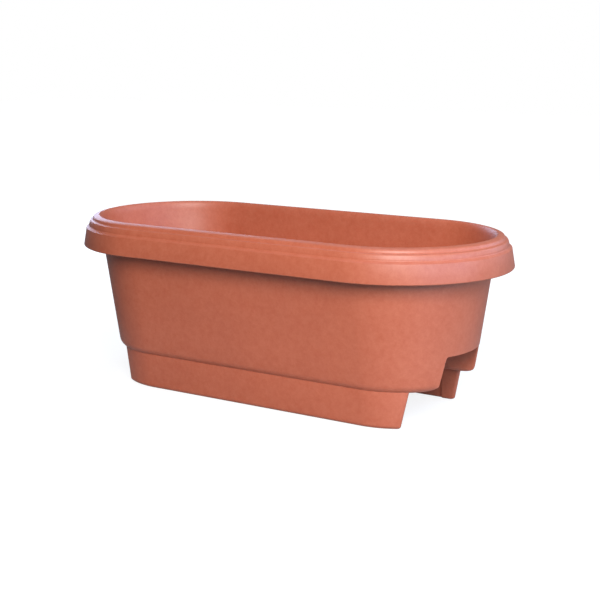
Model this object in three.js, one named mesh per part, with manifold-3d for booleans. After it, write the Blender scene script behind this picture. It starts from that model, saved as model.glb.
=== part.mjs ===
// Railing planter: a long moulded plastic pot that straddles a deck rail.
// The pot is one thin-walled moulding. Its body tapers down from a stepped, overhanging rim. Below the body
// two hollow leg troughs, front and back, hang on either side of a stepped channel that runs right through:
// the wide lower step sits over a 2x6 rail, the narrow upper step over a 2x4 rail.
// Drain holes in the floor of both troughs are closed by soft push-in plugs, each pulled straight up.
// Millimetres, +X along the pot, +Y to its back, +Z up. The origin is under the centre, level with the feet.
import * as THREE from "three";
import { mergeVertices } from "three/addons/utils/BufferGeometryUtils.js";
import Module from "manifold-3d";

// Plan of the pot: two straight sides and two half-round ends, with the same straight at every height.
const straightHalf = 160; // from the middle to where the ends start to turn
const arcSteps = 24; // facets round each half-round end

// Heights above the feet.
const legHeight = 45.9; // underside of the body, which is the 2x6 rail's seat
const channelHeight = 90; // roof of the channel, which is the 2x4 rail's seat
const crestHeight = 228; // top of the rim

const wall = 2.8; // all walls and floors of the moulding

// Channel between the legs. Its walls spread downwards for draft.
const narrowTopHalf = 45.3; // narrow step, half its width at the roof
const narrowDraft = 3.6; // added on each side down to the 2x6 rail's seat
const wideTopHalf = 70; // wide step, half its width at the seat
const wideDraft = 2.5; // added on each side down to the feet
const roofRadius = 2.5; // corner between the channel's roof and the narrow walls
const seatLipRadius = 7; // edge between the narrow walls and the 2x6 rail's seat
const footLipRadius = 3.5; // edge between the wide walls and the feet
const padStart = 31; // the wide walls are recessed up to end pads, which start this far round the ends
const padStep = 2.5; // depth of that recess
const padSlope = 2.5; // length of the slope from the recess up to the pad

// Legs and body, outside, from the channel outwards.
const footThickness = 18.7; // leg at the feet
const legDraft = 3.2; // how much further out the leg is where it meets the body
const bodyStep = 4.6; // how far the body's lower edge stands out from the leg
const bodyDraft = 19.6; // how much further out the body is, level with the skirt's lower edge

// Rounded edges, and the facets in each quarter round.
const footRadius = 5.5; // lower edge of the legs
const bodyRadius = 11; // lower edge of the body
const narrowTipRadius = 1.5; // upright edges where the narrow walls meet the half-round ends, above the lip
const wideTipRadius = 3.3; // upright edges where the wide walls meet the half-round ends
const leastRadius = 0.5; // inside the tips, where the wall takes up the whole radius
const roundSteps = 4;

// Rim. The corners of its section are measured outwards and down from the crest.
const crestReach = 5.9; // crest, outwards from the body's wall level with the skirt's lower edge
const shoulderReach = 6.2; // outer shoulder of the crest
const shoulderDrop = 1.9;
const grooveReach = 8.3; // shallow groove between the crest and the bead
const grooveDrop = 5.6;
const beadReach = 11.3; // upper edge of the bead
const beadDrop = 7.2;
const beadLowReach = 12.8; // lower edge of the bead
const beadLowDrop = 11.6;
const coveReach = 13.3; // deepest line of the cove
const coveDrop = 14;
const skirtTopReach = 16.6;
const skirtTopDrop = 16.8;
const skirtReach = 20.5; // skirt's lower edge, the widest part
const skirtDrop = 40.7;
const lipDrop = 14; // where the inner wall starts to round over to the crest
const lipBulge = 1.2; // how far the rounded-over inner lip stands out from the inner wall's own slope
const rimSteps = 12; // facets from the crest to the top of the skirt
const lipSteps = 5; // facets from the inner wall up to the crest
const skirtSteps = 4; // facets round the skirt's lower edge

// Drain holes in the floor of each leg trough.
const drainsPerLeg = 4;
const drainPitch = 100;
const drainRadius = 3;

// Plug of a drain hole: a stem through the floor, a head inside and a nub to pull it by.
const plugClearance = 0.3; // round the stem, and between the head and the floor
const plugHeadRadius = 3.8;
const plugHeadHeight = 1.8;
const plugNubRadius = 1.4;
const plugNubHeight = 3.6;
const plugShortfall = 0.4; // how far the stem's end stays above the outside of the floor
const plugTaper = 0.5; // how much the stem narrows towards its end
const plugEdge = 0.4; // bevels of the head and the nub
const plugSides = 16;

const terracotta = new THREE.MeshStandardMaterial({ color: 0xb9603f, roughness: 0.55, metalness: 0 });
const brownRubber = new THREE.MeshStandardMaterial({ color: 0x5a3327, roughness: 0.8, metalness: 0 });

const wasm = await Module();
wasm.setup();

// Half widths and heights that follow from the sizes above.
const narrowLowHalf = narrowTopHalf + narrowDraft;
const wideLowHalf = wideTopHalf + wideDraft;
const footHalf = wideLowHalf + footThickness;
const bandHalf = footHalf + legDraft;
const bodyLowHalf = bandHalf + bodyStep;
const bodyHighHalf = bodyLowHalf + bodyDraft;
const crestHalf = bodyHighHalf + crestReach;
const skirtHalf = crestHalf + skirtReach;
const skirtBottom = crestHeight - skirtDrop;
const grooveHeight = crestHeight - grooveDrop;
const footFlat = [wideLowHalf + padStep + footLipRadius, footHalf - footRadius];
const drainLine = (footFlat[0] + footFlat[1]) / 2;

// Straight drafts: the half width of a wall at a height.
const { lerp } = THREE.MathUtils;
const bodyHalfAt = (z) => lerp(bodyLowHalf, bodyHighHalf, (z - legHeight) / (skirtBottom - legHeight));
const bandHalfAt = (z) => lerp(footHalf, bandHalf, z / legHeight);
const wideHalfAt = (z) => lerp(wideLowHalf, wideTopHalf, z / legHeight);
const narrowHalfAt = (z) =>
  lerp(narrowLowHalf, narrowTopHalf, (z - legHeight) / (channelHeight - legHeight));

// Outside corners of the rim's section, from the top of the skirt up to the shoulder of the crest.
const rimCorners = [
  [skirtTopReach, skirtTopDrop],
  [coveReach, coveDrop],
  [beadLowReach, beadLowDrop],
  [beadReach, beadDrop],
  [grooveReach, grooveDrop],
  [shoulderReach, shoulderDrop],
].map(([reach, drop]) => new THREE.Vector2(crestHalf + reach, crestHeight - drop));

// A quarter round from its flat end to its upright end: how far each point is drawn in from the upright,
// and how far it has risen from the flat, as shares of the radius.
const quarterRound = Array.from({ length: roundSteps + 1 }, (_, i) => {
  const turn = ((i / roundSteps) * Math.PI) / 2;
  return { drawn: 1 - Math.sin(turn), rise: 1 - Math.cos(turn) };
});

// Plan outline of the pot at one height.
function potRing(half, z) {
  const outline = new THREE.Path();
  outline.absarc(straightHalf, 0, half, -Math.PI / 2, Math.PI / 2);
  outline.absarc(-straightHalf, 0, half, Math.PI / 2, (Math.PI * 3) / 2);
  return { outline: outline.getPoints(arcSteps / 2), z };
}

// Plan outline of the channel at one height. It rounds the tips where it runs out through the pot's ends,
// and a recess may widen it between the middle and recess.half.
function channelRing({ channelHalf, potHalf, tip, z, recess }) {
  const centreY = channelHalf + tip;
  const centreX = straightHalf + Math.sqrt((potHalf - tip) ** 2 - centreY ** 2);
  const leave = Math.atan2(centreY, centreX - straightHalf);
  const quarter = [];
  if (recess) {
    quarter.push(new THREE.Vector2(recess.half - padSlope, channelHalf + recess.depth));
    quarter.push(new THREE.Vector2(recess.half, channelHalf));
  }
  for (let i = 0; i <= roundSteps; i++) {
    const turn = lerp(-Math.PI / 2, leave, i / roundSteps);
    quarter.push(new THREE.Vector2(centreX + tip * Math.cos(turn), centreY + tip * Math.sin(turn)));
  }
  quarter.push(new THREE.Vector2(straightHalf + skirtHalf, quarter.at(-1).y));
  const corner = (flipX, flipY) => quarter.map((p) => new THREE.Vector2(p.x * flipX, p.y * flipY));
  const near = [...corner(-1, -1).reverse(), ...corner(1, -1)];
  const far = [...corner(1, 1).reverse(), ...corner(-1, 1)];
  return { outline: [...near, ...far], z };
}

// Closed solid through a stack of rings with equal numbers of points, its first and last ring capped.
function loft(rings) {
  const count = rings[0].outline.length;
  const positions = rings.flatMap(({ outline, z }) => outline.flatMap((p) => [p.x, p.y, z]));
  const faces = [];
  for (let level = 0; level < rings.length - 1; level++) {
    for (let i = 0; i < count; i++) {
      const here = level * count + i;
      const next = level * count + ((i + 1) % count);
      faces.push(here, next, next + count, here, next + count, here + count);
    }
  }
  const last = (rings.length - 1) * count;
  for (const [a, b, c] of THREE.ShapeUtils.triangulateShape([...rings[0].outline], [])) {
    faces.push(a, c, b);
  }
  for (const [a, b, c] of THREE.ShapeUtils.triangulateShape([...rings.at(-1).outline], [])) {
    faces.push(last + a, last + b, last + c);
  }
  const geometry = new THREE.BufferGeometry();
  geometry.setAttribute("position", new THREE.Float32BufferAttribute(positions, 3));
  geometry.setIndex(faces);
  return solidOf(geometry);
}

// A three.js geometry as a solid that can be joined and cut, and such a solid as a geometry again.
function solidOf(geometry) {
  geometry.deleteAttribute("normal");
  geometry.deleteAttribute("uv");
  const merged = mergeVertices(geometry, 1e-4);
  const vertProperties = new Float32Array(merged.attributes.position.array);
  const triVerts = new Uint32Array(merged.index.array);
  return new wasm.Manifold(new wasm.Mesh({ numProp: 3, vertProperties, triVerts }));
}

function geometryOf(solid) {
  const { vertProperties, triVerts } = solid.getMesh();
  const geometry = new THREE.BufferGeometry();
  geometry.setAttribute("position", new THREE.BufferAttribute(vertProperties, 3));
  geometry.setIndex(new THREE.BufferAttribute(triVerts, 1));
  return geometry;
}

// The shapes below are drawn in by an inset: 0 gives the outside of the moulding, and the wall thickness
// gives the space inside it, whose rounds keep the same centres.

// Half width of the body at a height, down round its lower edge.
function bodyEdgeHalfAt(z, inset) {
  const radius = bodyRadius - inset;
  const fall = THREE.MathUtils.clamp(1 - (z - legHeight - inset) / radius, 0, 1);
  return bodyHalfAt(z) - inset - radius * (1 - Math.sqrt(1 - fall ** 2));
}

// Body from its rounded lower edge up to where the rim takes over.
function bodyRings(inset, top) {
  const rings = quarterRound.map(({ rise }) => {
    const z = legHeight + inset + (bodyRadius - inset) * rise;
    return potRing(bodyEdgeHalfAt(z, inset), z);
  });
  return [...rings, potRing(bodyHalfAt(top) - inset, top)];
}

// Both legs as one block, which reaches up into the body.
function legBlock(inset) {
  const radius = footRadius - inset;
  const rings = quarterRound.map(({ drawn, rise }) => {
    const z = inset + radius * rise;
    return potRing(bandHalfAt(z) - inset - radius * drawn, z);
  });
  rings.push(potRing(bandHalf - inset, legHeight));
  rings.push(potRing(bandHalf - inset, legHeight + wall + inset));
  return loft(rings);
}

// Narrow step of the channel, and with an inset the saddle that the soil sees round it.
function narrowChannel(inset) {
  const tip = Math.max(narrowTipRadius - inset, leastRadius);
  const ring = (z, widened) =>
    channelRing({
      channelHalf: narrowHalfAt(z) + inset + widened,
      potHalf: bodyEdgeHalfAt(z, inset),
      tip: tip + Math.max(widened, 0), // the tips get rounder down the lip
      z,
    });
  const corner = roofRadius + inset;
  const roof = quarterRound.map(({ drawn, rise }) =>
    ring(channelHeight + inset - corner * rise, -corner * drawn),
  );
  const lipRadius = seatLipRadius - inset;
  const lip = quarterRound.map(({ drawn, rise }) =>
    ring(legHeight + inset + lipRadius * rise, lipRadius * drawn),
  );
  return loft([ring(legHeight - wall, lipRadius), ...lip, ...roof.reverse()]);
}

// Wide step of the channel between the legs, with the recess between their end pads.
function wideChannel(inset) {
  const tip = Math.max(wideTipRadius - inset, leastRadius);
  const recess = { half: straightHalf + padStart + inset, depth: padStep };
  const ring = (z, widened) =>
    channelRing({
      channelHalf: wideHalfAt(z) + inset + widened,
      potHalf: bandHalfAt(z) - inset,
      tip,
      z,
      recess,
    });
  const top = [ring(legHeight, 0), ring(legHeight + 2 * wall + inset, 0)];
  if (inset > 0) return loft([ring(-wall, 0), ...top]);
  const lip = quarterRound.map(({ drawn, rise }) => ring(footLipRadius * rise, footLipRadius * drawn));
  return loft([ring(-wall, footLipRadius), ...lip, ...top]);
}

// Legs under a body, with the channel cut through both.
function overChannel(inset, body) {
  const legs = legBlock(inset).subtract(wideChannel(inset));
  return legs.add(body.subtract(narrowChannel(inset)));
}

// Outside of the moulding: up the body, out under the rim, down inside the skirt and back over the rim.
function outside() {
  const underside = rimCorners.map((corner) => potRing(corner.x - wall, corner.y - wall)).reverse();
  const edge = wall / 2;
  const skirtEdge = Array.from({ length: skirtSteps + 1 }, (_, i) => {
    const turn = Math.PI * (1 + i / skirtSteps);
    return potRing(skirtHalf - edge + edge * Math.cos(turn), skirtBottom + edge + edge * Math.sin(turn));
  });
  const crest = new THREE.Vector2(crestHalf, crestHeight);
  const overRim = new THREE.SplineCurve([...rimCorners, crest]).getPoints(rimSteps);
  const rim = overRim.map((p) => potRing(p.x, p.y));
  const body = loft([...bodyRings(0, grooveHeight - wall), ...underside, ...skirtEdge, ...rim]);
  return overChannel(0, body);
}

// Space inside the moulding: the soil's room, open at the top between the rounded-over lips.
function soilRoom() {
  const lipStart = crestHeight - lipDrop;
  const start = new THREE.Vector2(bodyHalfAt(lipStart) - wall, lipStart);
  const rising = new THREE.Vector2(bodyHalfAt(crestHeight) - wall - lipBulge, crestHeight);
  const crest = new THREE.Vector2(crestHalf, crestHeight);
  const lip = new THREE.QuadraticBezierCurve(start, rising, crest).getPoints(lipSteps);
  const rings = bodyRings(wall, lipStart).slice(0, -1);
  rings.push(...lip.map((p) => potRing(p.x, p.y)), potRing(crestHalf, crestHeight + wall));
  return overChannel(wall, loft(rings));
}

// Where each drain hole goes, with the name of its plug.
const drains = [
  { side: "front", y: -drainLine },
  { side: "back", y: drainLine },
].flatMap(({ side, y }) =>
  Array.from({ length: drainsPerLeg }, (_, i) => ({
    name: `drain_plug_${side}_${i + 1}`,
    x: (i - (drainsPerLeg - 1) / 2) * drainPitch,
    y,
  })),
);

function makePot() {
  const holes = drains.map(({ x, y }) =>
    solidOf(
      new THREE.CylinderGeometry(drainRadius, drainRadius, 4 * wall, plugSides)
        .rotateX(Math.PI / 2)
        .translate(x, y, 0),
    ),
  );
  const solid = holes.reduce((pot, hole) => pot.subtract(hole), outside().subtract(soilRoom()));
  const pot = new THREE.Mesh(geometryOf(solid), terracotta);
  pot.name = "planter_pot";
  return pot;
}

// A plug stands on its own origin, which is in the middle of its hole at the floor's inner face.
function makePlug() {
  const stemRadius = drainRadius - plugClearance;
  const stemEnd = plugShortfall - wall;
  const headBottom = plugClearance;
  const headTop = headBottom + plugHeadHeight;
  const nubTop = headTop + plugNubHeight;
  const profile = [
    [0, stemEnd],
    [stemRadius - plugTaper, stemEnd],
    [stemRadius, stemEnd + plugTaper],
    [stemRadius, headBottom],
    [plugHeadRadius, headBottom],
    [plugHeadRadius, headTop - plugEdge],
    [plugHeadRadius - plugEdge, headTop],
    [plugNubRadius, headTop],
    [plugNubRadius, nubTop - plugEdge],
    [plugNubRadius - plugEdge, nubTop],
    [0, nubTop],
  ].map(([radius, z]) => new THREE.Vector2(radius, z));
  return new THREE.LatheGeometry(profile, plugSides).rotateX(Math.PI / 2);
}

const planter = new THREE.Group();
planter.add(makePot());
for (const { name, x, y } of drains) {
  const plug = new THREE.Mesh(makePlug(), brownRubber);
  plug.name = name;
  plug.position.set(x, y, wall);
  planter.add(plug);
}

export default planter;
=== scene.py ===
import math

import bmesh
import bpy
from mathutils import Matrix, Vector


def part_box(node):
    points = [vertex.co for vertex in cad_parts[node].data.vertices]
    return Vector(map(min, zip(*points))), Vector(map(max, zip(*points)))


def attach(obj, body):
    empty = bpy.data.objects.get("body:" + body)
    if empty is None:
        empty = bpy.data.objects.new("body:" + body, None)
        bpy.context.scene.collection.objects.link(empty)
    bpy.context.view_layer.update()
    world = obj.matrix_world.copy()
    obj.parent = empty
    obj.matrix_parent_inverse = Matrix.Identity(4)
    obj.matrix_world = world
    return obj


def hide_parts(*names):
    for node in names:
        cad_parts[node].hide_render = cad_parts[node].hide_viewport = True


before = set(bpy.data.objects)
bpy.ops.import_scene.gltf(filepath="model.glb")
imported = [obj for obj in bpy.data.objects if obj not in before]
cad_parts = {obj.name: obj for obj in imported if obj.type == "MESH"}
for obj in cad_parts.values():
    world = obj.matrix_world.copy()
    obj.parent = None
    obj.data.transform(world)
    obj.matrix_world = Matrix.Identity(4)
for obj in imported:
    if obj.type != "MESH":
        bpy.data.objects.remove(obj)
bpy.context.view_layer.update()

# ---- Planter pot ---------------------------------------------------------------------------------
# The whole pot is one thin-walled moulding of terracotta polypropylene, made in a steel mould. Its
# outside and its inside are each drawn as a round pot, ring by ring, pulled apart to their long
# shape and cut through by the rail's channel, and are then joined over the rim.
mm = 0.001
_, pot_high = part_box("planter_pot")
skirt_half = pot_high.y  # the skirt's lower edge is the widest part
straight_half = pot_high.x - pot_high.y  # from the middle to where the ends start to turn
crest_height = pot_high.z

wall = 2.8 * mm
leg_height = 45.9 * mm  # underside of the body
channel_height = 90 * mm  # roof of the channel
skirt_bottom = crest_height - 40.7 * mm
lip_start = crest_height - 14 * mm

# Outside of the legs at the feet and where they meet the body, then outside of the body at its
# lower edge and level with the skirt's lower edge.
foot_half = 91.2 * mm
band_half = 94.4 * mm
body_low_half = 99 * mm
body_high_half = 118.6 * mm
crest_half = skirt_half - 20.5 * mm
foot_radius = 5.5 * mm
body_radius = 11 * mm

narrow_top_half, narrow_low_half = 45.3 * mm, 48.9 * mm  # the channel's two steps
wide_top_half, wide_low_half = 70 * mm, 72.5 * mm
roof_radius = 2.5 * mm
# Tips, where the channel runs out through the ends. The seat lip adds to the narrow one.
narrow_tip_radius = 1.5 * mm
wide_tip_radius = 3.3 * mm
least_radius = 0.5 * mm  # inside the tips, where the wall takes up the whole radius
seat_lip_radius = 7 * mm
foot_lip_radius = 3.5 * mm
lip_bulge = 1.2 * mm  # how far the inner lip stands out from the slope of the inner wall
pad_half = straight_half + 31 * mm  # the wide step is recessed between end pads
pad_step = 2.5 * mm
pad_slope = 2.5 * mm

# Corners of the rim's section: outwards and down from the crest.
rim_corners = [
    (16.6 * mm, 16.8 * mm),
    (13.3 * mm, 14 * mm),
    (12.8 * mm, 11.6 * mm),
    (11.3 * mm, 7.2 * mm),
    (8.3 * mm, 5.6 * mm),
    (6.2 * mm, 1.9 * mm),
    (0, 0),
]
ring_sides = 192
edge_steps = 6  # facets in each rounded edge
tip_steps = 10


def between(a, b, t):
    return a + (b - a) * t


def body_half_at(z):
    return between(body_low_half, body_high_half, (z - leg_height) / (skirt_bottom - leg_height))


def band_half_at(z):
    return between(foot_half, band_half, z / leg_height)


def body_edge_half_at(z, inset):
    """Half width of the body drawn in by the inset, down round its lower edge."""
    radius = body_radius - inset
    fall = min(max(1 - (z - leg_height - inset) / radius, 0), 1)
    return body_half_at(z) - inset - radius * (1 - math.sqrt(1 - fall**2))


def quarter_round(steps):
    """How far drawn in and how far risen, as shares of the radius, from flat to upright."""
    turns = [math.pi / 2 * i / steps for i in range(steps + 1)]
    return [(1 - math.sin(turn), 1 - math.cos(turn)) for turn in turns]


def eased(p, q, r, s, t):
    """A share t of the way from q to r, on a smooth curve that comes from p and goes on to s."""
    return 0.5 * (
        2 * q
        + (r - p) * t
        + (2 * p - 5 * q + 4 * r - s) * t**2
        + (3 * q - p - 3 * r + s) * t**3
    )


def smooth_through(corners, steps):
    """Points on a curve that passes smoothly through the corners."""
    ends = [corners[0], *corners, corners[-1]]
    points = []
    for a, b, c, d in zip(ends, ends[1:], ends[2:], ends[3:]):
        for i in range(steps):
            points.append(tuple(eased(*four, i / steps) for four in zip(a, b, c, d)))
    return [*points, corners[-1]]


def start_piece(name):
    """Names the primitive just added, takes its place into its mesh and opens it for editing."""
    piece = bpy.context.object
    piece.name = piece.data.name = name
    bpy.ops.object.transform_apply(location=True, rotation=True, scale=True)
    bpy.ops.object.mode_set(mode="EDIT")
    return piece


def pulled_apart(name, profile):
    """A long solid with half-round ends: a round one up its profile, pulled apart in the middle."""
    (half, z), *rest = profile
    bpy.ops.mesh.primitive_circle_add(
        vertices=ring_sides,
        radius=half,
        fill_type="NGON",
        location=(0, 0, z),
        rotation=(0, 0, math.pi / ring_sides),
    )
    piece = start_piece(name)
    for next_half, next_z in rest:
        bpy.ops.mesh.extrude_region_move(TRANSFORM_OT_translate={"value": (0, 0, next_z - z)})
        grow = next_half / half
        bpy.ops.transform.resize(value=(grow, grow, 1), center_override=(0, 0, 0))
        half, z = next_half, next_z
    for side in (-1, 1):
        bpy.ops.mesh.select_mode(type="VERT")
        bpy.ops.mesh.select_all(action="DESELECT")
        mesh = bmesh.from_edit_mesh(piece.data)
        for vertex in mesh.verts:
            vertex.select_set(vertex.co.x * side > 0)
        mesh.select_flush(True)
        bmesh.update_edit_mesh(piece.data)
        bpy.ops.transform.translate(value=(side * straight_half, 0, 0))
    bpy.ops.mesh.select_all(action="SELECT")
    bpy.ops.mesh.normals_make_consistent(inside=False)
    bpy.ops.object.mode_set(mode="OBJECT")
    return piece


def combine(piece, other, how):
    """Joins the other solid to the piece, or cuts it out of the piece, and removes it."""
    boolean = piece.modifiers.new("boolean", "BOOLEAN")
    boolean.operation = how
    boolean.object = other
    boolean.solver = "EXACT"
    bpy.ops.object.select_all(action="DESELECT")
    bpy.context.view_layer.objects.active = piece
    bpy.ops.object.modifier_apply(modifier=boolean.name)
    bpy.data.objects.remove(other)
    return piece


bpy.ops.object.select_all(action="DESELECT")  # the CAD nodes come in selected


def body_profile(inset):
    """Body from its rounded lower edge up to its straight wall, drawn in by the inset."""
    radius = body_radius - inset
    profile = []
    for _, rise in quarter_round(edge_steps):
        z = leg_height + inset + radius * rise
        profile.append((body_edge_half_at(z, inset), z))
    return profile


def leg_block(name, inset):
    """Both legs as one block that reaches up into the body."""
    radius = foot_radius - inset
    profile = []
    for drawn, rise in quarter_round(edge_steps):
        z = inset + radius * rise
        profile.append((band_half_at(z) - inset - radius * drawn, z))
    profile += [(band_half - inset, leg_height), (band_half - inset, leg_height + wall + inset)]
    return pulled_apart(name, profile)


def channel_outline(channel_half, pot_half, tip, recess=None):
    """Plan of the channel at one height, turning round its tips and out past the pot's ends."""
    centre_y = channel_half + tip
    centre_x = straight_half + math.sqrt((pot_half - tip) ** 2 - centre_y**2)
    leave = math.atan2(centre_y, centre_x - straight_half)
    quarter = []
    if recess:
        quarter = [(recess - pad_slope, channel_half + pad_step), (recess, channel_half)]
    for i in range(tip_steps + 1):
        turn = between(-math.pi / 2, leave, i / tip_steps)
        quarter.append((centre_x + tip * math.cos(turn), centre_y + tip * math.sin(turn)))
    quarter.append((straight_half + skirt_half, quarter[-1][1]))
    near = [(-x, -y) for x, y in reversed(quarter)] + [(x, -y) for x, y in quarter]
    return near + [(-x, -y) for x, y in near]


def lofted(name, rings):
    """A solid through a stack of outlines that all have the same number of points."""
    mesh = bmesh.new()
    levels = [[mesh.verts.new((x, y, z)) for x, y in outline] for outline, z in rings]
    for lower, upper in zip(levels, levels[1:]):
        for a, b, c, d in zip(lower, lower[1:] + lower[:1], upper[1:] + upper[:1], upper):
            mesh.faces.new((a, b, c, d))
    mesh.faces.new(reversed(levels[0]))
    mesh.faces.new(levels[-1])
    piece = bpy.data.objects.new(name, bpy.data.meshes.new(name))
    mesh.to_mesh(piece.data)
    mesh.free()
    bpy.context.collection.objects.link(piece)
    return piece


def narrow_step(name, inset):
    """Narrow step of the channel; with an inset, the saddle that covers it inside the pot."""
    tip = max(narrow_tip_radius - inset, least_radius)
    corner = roof_radius + inset

    def ring(z, widened):
        share = (z - leg_height) / (channel_height - leg_height)
        half = between(narrow_low_half, narrow_top_half, share) + inset + widened
        return channel_outline(half, body_edge_half_at(z, inset), tip + max(widened, 0)), z

    rounded = quarter_round(edge_steps)
    roof = [
        ring(channel_height + inset - corner * rise, -corner * drawn)
        for drawn, rise in reversed(rounded)
    ]
    lip_radius = seat_lip_radius - inset
    lip = [
        ring(leg_height + inset + lip_radius * rise, lip_radius * drawn)
        for drawn, rise in rounded
    ]
    return lofted(name, [ring(leg_height - wall, lip_radius), *lip, *roof])


def wide_step(name, inset):
    """Wide step of the channel, with the recess between its end pads."""
    tip = max(wide_tip_radius - inset, least_radius)

    def ring(z, widened):
        half = between(wide_low_half, wide_top_half, z / leg_height) + inset + widened
        return channel_outline(half, band_half_at(z) - inset, tip, pad_half + inset), z

    top = [ring(leg_height, 0), ring(leg_height + 2 * wall + inset, 0)]
    if inset:
        return lofted(name, [ring(-wall, 0), *top])
    rounded = quarter_round(edge_steps)
    lip = [ring(foot_lip_radius * rise, foot_lip_radius * drawn) for drawn, rise in rounded]
    return lofted(name, [ring(-wall, foot_lip_radius), *lip, *top])


def over_channel(name, inset, body):
    """A body and its legs with the channel cut through both, for the outside or the inside."""
    legs = leg_block(name + "_legs", inset)
    combine(legs, wide_step(name + "_wide_step", inset), "DIFFERENCE")
    combine(body, narrow_step(name + "_narrow_step", inset), "DIFFERENCE")
    return combine(body, legs, "UNION")


# The outside goes up the wall and out into the rim's underside, down to the skirt's lower edge,
# round it, and back up over the rim to the crest.
wall_levels = [z * mm for z in (80, 110, 140, 170, 200)]
rim_underside = crest_height - 8.4 * mm  # where the wall turns out into the rim
rim_steps = 6
skirt_edge_steps = 8
skirt_turns = [math.pi * (1 + i / skirt_edge_steps) for i in range(skirt_edge_steps + 1)]
under_rim = [
    (crest_half + out - wall, crest_height - down - wall)
    for out, down in reversed(rim_corners[:-1])
]
skirt_edge = [
    (skirt_half - wall / 2 * (1 - math.cos(turn)), skirt_bottom + wall / 2 * (1 + math.sin(turn)))
    for turn in skirt_turns
]
over_rim = [
    (crest_half + out, crest_height - down)
    for out, down in smooth_through(rim_corners, rim_steps)
]
outside = pulled_apart("planter_pot_moulding", [
    *body_profile(0),
    *[(body_half_at(z), z) for z in [*wall_levels, rim_underside]],
    *under_rim,
    *skirt_edge,
    *over_rim,
])
over_channel("outside", 0, outside)

# The inner wall's lip leaves the wall's slope and leans over to the crest.
inner_lip_steps = 9
lip_low = body_half_at(lip_start) - wall
lip_middle = body_half_at(crest_height) - wall - lip_bulge
inner_lip = []
for i in range(1, inner_lip_steps):
    t = i / inner_lip_steps
    half = between(between(lip_low, lip_middle, t), between(lip_middle, crest_half, t), t)
    inner_lip.append((half, between(lip_start, crest_height, t * (2 - t))))
inside = pulled_apart("soil_room", [
    *body_profile(wall),
    *[(body_half_at(z) - wall, z) for z in [*wall_levels[1:], lip_start]],
    *inner_lip,
])
over_channel("inside", wall, inside)

# The outside and the inside meet over the rim: their caps go, and a last band of faces joins the
# open rings.
for piece, flip in ((outside, False), (inside, True)):
    mesh = bmesh.new()
    mesh.from_mesh(piece.data)
    top = max(mesh.faces, key=lambda face: face.calc_center_median().z)
    bmesh.ops.delete(mesh, geom=[top], context="FACES")
    if flip:
        bmesh.ops.reverse_faces(mesh, faces=mesh.faces)
    mesh.to_mesh(piece.data)
    mesh.free()
bpy.ops.object.select_all(action="DESELECT")
inside.select_set(True)
outside.select_set(True)
bpy.context.view_layer.objects.active = outside
bpy.ops.object.join()
bpy.ops.object.mode_set(mode="EDIT")
bpy.ops.mesh.select_mode(type="EDGE")
bpy.ops.mesh.select_all(action="DESELECT")
bpy.ops.mesh.select_non_manifold()
bpy.ops.mesh.bridge_edge_loops()
bpy.ops.object.mode_set(mode="OBJECT")
pot = outside

# Drain holes through the floors of both leg troughs.
drain_pitch = 100 * mm
drain_radius = 3 * mm
drain_sides = 48
# The holes stand along the middle of each foot's flat.
drain_line = (wide_low_half + pad_step + foot_lip_radius + foot_half - foot_radius) / 2
drain_places = {
    f"drain_plug_{side}_{i + 1}": (drain_pitch * (i - 1.5), way * drain_line)
    for side, way in (("front", -1), ("back", 1))
    for i in range(4)
}
for x, y in drain_places.values():
    bpy.ops.mesh.primitive_cylinder_add(
        vertices=drain_sides, radius=drain_radius, depth=4 * wall, location=(x, y, 0)
    )
    combine(pot, bpy.context.object, "DIFFERENCE")

# Straight sides get a few upright edges, so that the shading stays even along them.
upright_edges = (-0.95, -0.5, 0, 0.5, 0.95)  # as shares of the straight half
pot_smooth_angle = math.radians(32)
bpy.ops.object.select_all(action="DESELECT")
bpy.context.view_layer.objects.active = pot
bpy.ops.object.mode_set(mode="EDIT")
for share in upright_edges:
    bpy.ops.mesh.select_all(action="SELECT")
    bpy.ops.mesh.bisect(plane_co=(share * straight_half, 0, 0), plane_no=(1, 0, 0))
bpy.ops.object.mode_set(mode="OBJECT")
pot.select_set(True)
bpy.ops.object.shade_smooth_by_angle(angle=pot_smooth_angle)


def linear(hex_colour):
    """An sRGB hex colour as the linear red, green, blue and alpha that a shader socket takes."""
    parts = [int(hex_colour[i : i + 2], 16) / 255 for i in (1, 3, 5)]
    return [c / 12.92 if c <= 0.04045 else ((c + 0.055) / 1.055) ** 2.4 for c in parts] + [1]


def add_node(tree, kind, settings=None, inputs=None):
    """Adds a node, with its settings, and its inputs as values or as sockets to link."""
    node = tree.nodes.new(kind)
    for name, value in (settings or {}).items():
        setattr(node, name, value)
    for name, value in (inputs or {}).items():
        if isinstance(value, bpy.types.NodeSocket):
            tree.links.new(value, node.inputs[name])
        else:
            node.inputs[name].default_value = value
    return node


def new_material(name):
    """An empty node material, and its node tree."""
    material = bpy.data.materials.new(name)
    material.use_nodes = True
    material.node_tree.nodes.clear()
    return material, material.node_tree


# Polypropylene coloured terracotta in the mass, moulded against a spark-eroded steel: a satin skin
# with a very fine grain, faint clouds and a pale mottle where the pigment has flowed, and an even,
# broad highlight.
noise_low, noise_high = 0.3, 0.7  # most of a noise lies between these
moulded_pp, tree = new_material("terracotta_polypropylene_satin_moulded")
place = add_node(tree, "ShaderNodeTexCoord").outputs["Object"]
clouds = add_node(tree, "ShaderNodeTexNoise", {}, {
    "Vector": place,
    "Scale": 1 / (90 * mm),  # flow clouds, 90 mm across
    "Detail": 3,
    "Roughness": 0.55,
})
mottle = add_node(tree, "ShaderNodeTexNoise", {}, {
    "Vector": place,
    "Scale": 1 / (9 * mm),  # pale mottle of the skin, from 9 mm down to under 1 mm
    "Detail": 4,
    "Roughness": 0.85,
})
paleness = add_node(tree, "ShaderNodeMapRange", {}, {
    "Value": mottle.outputs["Fac"],
    "From Min": noise_low,
    "From Max": noise_high,
    "To Max": 0.14,
})
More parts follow.
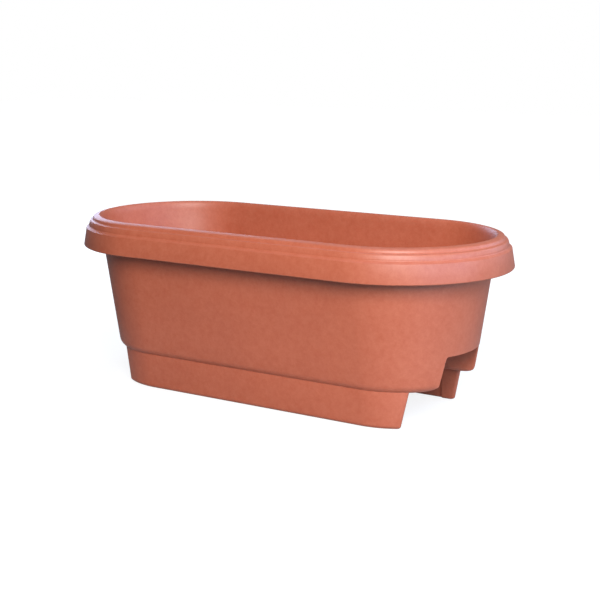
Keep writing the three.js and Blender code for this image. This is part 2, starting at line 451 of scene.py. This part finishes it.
grain = add_node(tree, "ShaderNodeTexNoise", {}, {
    "Vector": place,
    "Scale": 1 / (1.1 * mm),  # spark-eroded grain, drawn at 1.1 mm; the real one is 0.1 mm
    "Detail": 3,
    "Roughness": 0.7,
})
cloudy = add_node(tree, "ShaderNodeMix", {"data_type": "RGBA"}, {
    "Factor": clouds.outputs["Fac"],
    "A": linear("#B35334"),
    "B": linear("#C15F3F"),
})
mottled = add_node(tree, "ShaderNodeMix", {"data_type": "RGBA"}, {
    "Factor": paleness.outputs["Result"],
    "A": cloudy.outputs["Result"],
    "B": linear("#FEA888"),
})
polish = add_node(tree, "ShaderNodeMapRange", {}, {
    "Value": clouds.outputs["Fac"],
    "From Min": noise_low,
    "From Max": noise_high,
    "To Min": 0.45,
    "To Max": 0.52,
})
bumps = add_node(tree, "ShaderNodeBump", {}, {
    "Strength": 0.12,
    "Distance": 0.1 * mm,
    "Height": grain.outputs["Fac"],
})
skin = add_node(tree, "ShaderNodeBsdfPrincipled", {}, {
    "Base Color": mottled.outputs["Result"],
    "Roughness": polish.outputs["Result"],
    "IOR": 1.49,
    "Specular IOR Level": 0.75,
    "Normal": bumps.outputs["Normal"],
})
add_node(tree, "ShaderNodeOutputMaterial", {}, {"Surface": skin.outputs["BSDF"]})

pot.data.materials.clear()
pot.data.materials.append(moulded_pp)
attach(pot, "pot")
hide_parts("planter_pot")

# ---- Drain plugs ---------------------------------------------------------------------------------
# Eight soft plugs of brown rubber, one in each drain hole: a stem through the floor, a head just
# above it and a nub to pull. One is raised from a round blank, ring by ring, has its edges bevelled
# and is copied to each hole.
plug_clearance = 0.3 * mm  # round the stem, and between the head and the floor
plug_head_radius = 3.8 * mm
plug_head_height = 1.8 * mm
plug_nub_radius = 1.4 * mm
plug_nub_height = 3.6 * mm
plug_waist_share = 0.8  # the nub's narrowest radius, and how far up it is
plug_waist_rise = 0.45
plug_shortfall = 0.4 * mm  # how far the stem's end stays above the underside of the floor
plug_taper = 0.5 * mm
plug_edge = 0.4 * mm  # bevels
plug_edge_segments = 4
plug_edge_angle = math.radians(40)
plug_smooth_angle = math.radians(35)

natural_rubber, tree = new_material("brown_rubber_moulded_matt")
place = add_node(tree, "ShaderNodeTexCoord").outputs["Object"]
bloom = add_node(tree, "ShaderNodeTexNoise", {}, {
    "Vector": place,
    "Scale": 1 / (5 * mm),  # patches of pale bloom on the rubber's skin
    "Detail": 4,
    "Roughness": 0.65,
})
tint = add_node(tree, "ShaderNodeMix", {"data_type": "RGBA"}, {
    "Factor": bloom.outputs["Fac"],
    "A": linear("#4E2B20"),
    "B": linear("#6B4034"),
})
dull = add_node(tree, "ShaderNodeMapRange", {}, {
    "Value": bloom.outputs["Fac"],
    "To Min": 0.62,
    "To Max": 0.86,
})
pimples = add_node(tree, "ShaderNodeBump", {}, {
    "Strength": 0.2,
    "Distance": 0.05 * mm,
    "Height": bloom.outputs["Fac"],
})
rubber_skin = add_node(tree, "ShaderNodeBsdfPrincipled", {}, {
    "Base Color": tint.outputs["Result"],
    "Roughness": dull.outputs["Result"],
    "IOR": 1.52,
    "Normal": pimples.outputs["Normal"],
})
add_node(tree, "ShaderNodeOutputMaterial", {}, {"Surface": rubber_skin.outputs["BSDF"]})

stem_radius = drain_radius - plug_clearance
stem_start = stem_radius - plug_taper
head_bottom = wall + plug_clearance
head_top = head_bottom + plug_head_height
nub_top = head_top + plug_nub_height
plug_profile = [
    (stem_radius, plug_shortfall + plug_taper),
    (stem_radius, head_bottom),
    (plug_head_radius, head_bottom),
    (plug_head_radius, head_top),
    (plug_nub_radius, head_top),
    (plug_nub_radius * plug_waist_share, between(head_top, nub_top, plug_waist_rise)),
    (plug_nub_radius, nub_top),
]
bpy.ops.mesh.primitive_circle_add(
    vertices=drain_sides, radius=stem_start, fill_type="NGON", location=(0, 0, plug_shortfall)
)
blank = start_piece("drain_plug_blank")
radius, z = stem_start, plug_shortfall
for next_radius, next_z in plug_profile:
    bpy.ops.mesh.extrude_region_move(TRANSFORM_OT_translate={"value": (0, 0, next_z - z)})
    grow = next_radius / radius
    bpy.ops.transform.resize(value=(grow, grow, 1), center_override=(0, 0, 0))
    radius, z = next_radius, next_z
bpy.ops.mesh.select_all(action="SELECT")
bpy.ops.mesh.normals_make_consistent(inside=False)
bpy.ops.object.mode_set(mode="OBJECT")
soften = blank.modifiers.new("edges", "BEVEL")
soften.width = plug_edge
soften.segments = plug_edge_segments
soften.limit_method = "ANGLE"
soften.angle_limit = plug_edge_angle
bpy.ops.object.modifier_apply(modifier=soften.name)
bpy.ops.object.shade_smooth_by_angle(angle=plug_smooth_angle)
blank.data.materials.append(natural_rubber)

for name, (x, y) in drain_places.items():
    plug = bpy.data.objects.new(name + "_soft", blank.data.copy())
    plug.data.name = plug.name
    bpy.context.collection.objects.link(plug)
    bpy.ops.object.select_all(action="DESELECT")
    plug.select_set(True)
    bpy.context.view_layer.objects.active = plug
    plug.location = (x, y, 0)
    bpy.ops.object.transform_apply(location=True, rotation=False, scale=False)
    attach(plug, name)
    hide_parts(name)
bpy.data.objects.remove(blank)

# ---- Camera --------------------------------------------------------------------------------------
# A long lens, from in front and to the right, a little above the rim.
camera_turn = math.radians(32.28)
camera_rise = math.radians(11.84)
camera_distance = 1.6496
camera_aim = Vector((0.0118, 0.0092, 0.1227))
camera_lens, camera_sensor = 74.85, 36  # millimetres

backwards = Vector((
    math.sin(camera_turn) * math.cos(camera_rise),
    -math.cos(camera_turn) * math.cos(camera_rise),
    math.sin(camera_rise),
))
camera = bpy.data.objects.new("camera", bpy.data.cameras.new("camera"))
bpy.context.collection.objects.link(camera)
camera.data.lens = camera_lens
camera.data.sensor_width = camera_sensor
camera.location = camera_aim + backwards * camera_distance
camera.rotation_euler = backwards.to_track_quat("Z", "Y").to_euler()
bpy.context.scene.camera = camera

# ---- Studio --------------------------------------------------------------------------------------
# A floor and surroundings that are white to the camera. A large neutral softbox stands in front,
# weak cool ones overhead and behind, and two small cool ones low at the right, which give the broad
# highlight on the rim.
floor_size = 12
# Light that the floor throws back at the pot fades with the distance from the pot's middle.
bounce_near, bounce_far = 0.36, 0.5
bounce_pale, bounce_dark = 0.42, 0.08
# The white that the camera sees grows with that distance, so that the pot's shadow shows near it.
white_near, white_far = 0.35, 1.1
white_least, white_full = 0.85, 1
floor_in_gloss, surroundings_in_gloss = 0.2, 0.3  # how much of the white shows in glossy surfaces
surroundings_light = 0.03
bpy.ops.mesh.primitive_plane_add(size=floor_size, location=(0, 0, 0))
floor = start_piece("floor")
bpy.ops.mesh.subdivide(number_cuts=3)
bpy.ops.object.mode_set(mode="OBJECT")
paper, tree = new_material("white_paper_floor")
light_path = add_node(tree, "ShaderNodeLightPath")
dimmed = add_node(tree, "ShaderNodeBsdfDiffuse", {}, {"Color": linear("#8A8A8A")})
spot = add_node(tree, "ShaderNodeVectorMath", {"operation": "LENGTH"}, {
    0: add_node(tree, "ShaderNodeTexCoord").outputs["Object"],
})
sheet = add_node(tree, "ShaderNodeMapRange", {}, {
    "Value": spot.outputs["Value"],
    "From Min": bounce_near,
    "From Max": bounce_far,
    "To Min": bounce_pale,
    "To Max": bounce_dark,
})
matt = add_node(tree, "ShaderNodeBsdfDiffuse", {}, {"Color": sheet.outputs["Result"]})
whiter = add_node(tree, "ShaderNodeMapRange", {}, {
    "Value": spot.outputs["Value"],
    "From Min": white_near,
    "From Max": white_far,
    "To Min": white_least,
    "To Max": white_full,
})
glow = add_node(tree, "ShaderNodeEmission", {}, {
    "Color": (1, 1, 1, 1),
    "Strength": whiter.outputs["Result"],
})
seen = add_node(tree, "ShaderNodeAddShader", {}, {
    0: dimmed.outputs["BSDF"],
    1: glow.outputs["Emission"],
})
looked_at = add_node(tree, "ShaderNodeMath", {"operation": "MULTIPLY_ADD"}, {
    0: light_path.outputs["Is Glossy Ray"],
    1: floor_in_gloss,
    2: light_path.outputs["Is Camera Ray"],
})
paper_skin = add_node(tree, "ShaderNodeMixShader", {}, {
    0: looked_at.outputs[0],
    1: matt.outputs["BSDF"],
    2: seen.outputs["Shader"],
})
add_node(tree, "ShaderNodeOutputMaterial", {}, {"Surface": paper_skin.outputs["Shader"]})
floor.data.materials.append(paper)

world = bpy.data.worlds.new("white_surroundings")
world.use_nodes = True
world.node_tree.nodes.clear()
bpy.context.scene.world = world
tree = world.node_tree
light_path = add_node(tree, "ShaderNodeLightPath")
reflected = add_node(tree, "ShaderNodeMath", {"operation": "MULTIPLY_ADD"}, {
    0: light_path.outputs["Is Glossy Ray"],
    1: surroundings_in_gloss,
    2: surroundings_light,
})
shown = add_node(tree, "ShaderNodeMath", {"operation": "MAXIMUM"}, {
    0: light_path.outputs["Is Camera Ray"],
    1: reflected.outputs[0],
})
surroundings = add_node(tree, "ShaderNodeBackground", {}, {
    "Color": (1, 1, 1, 1),
    "Strength": shown.outputs[0],
})
add_node(tree, "ShaderNodeOutputWorld", {}, {"Surface": surroundings.outputs["Background"]})


def softbox(name, place, aim, size, watts, colour):
    """A square area lamp at a place, turned towards a point."""
    lamp = bpy.data.objects.new(name, bpy.data.lights.new(name, "AREA"))
    bpy.context.collection.objects.link(lamp)
    lamp.data.shape = "SQUARE"
    lamp.data.size = size
    lamp.data.energy = watts
    lamp.data.color = linear(colour)[:3]
    lamp.location = place
    lamp.rotation_euler = (Vector(place) - Vector(aim)).to_track_quat("Z", "Y").to_euler()


pot_middle, rim_right = (0, 0, 0.12), (0.1, 0, 0.15)
softbox("overhead_softbox", (0, 0.2, 1.7), (0, 0, 0.1), 1.0, 6, "#BCE1FF")
softbox("right_overhead_softbox", (1.1, 0.15, 1.3), (0, 0, 0.1), 0.8, 5, "#BCE1FF")
softbox("front_softbox", (0.87, -1.33, 0.97), pot_middle, 0.8, 33.5, "#FFFFFF")
softbox("right_softbox", (1.31, -0.7, 0.33), rim_right, 0.4, 5.6, "#7CD0FF")
softbox("far_right_softbox", (1.48, 0, 0.38), rim_right, 0.5, 7, "#BCD8FF")
softbox("back_left_softbox", (-1.43, 0.9, 0.74), pot_middle, 0.9, 15, "#C4DAFF")
softbox("back_right_softbox", (1.22, 1.17, 0.74), pot_middle, 0.9, 11, "#C4DAFF")

bpy.context.scene.view_settings.view_transform = "Standard"
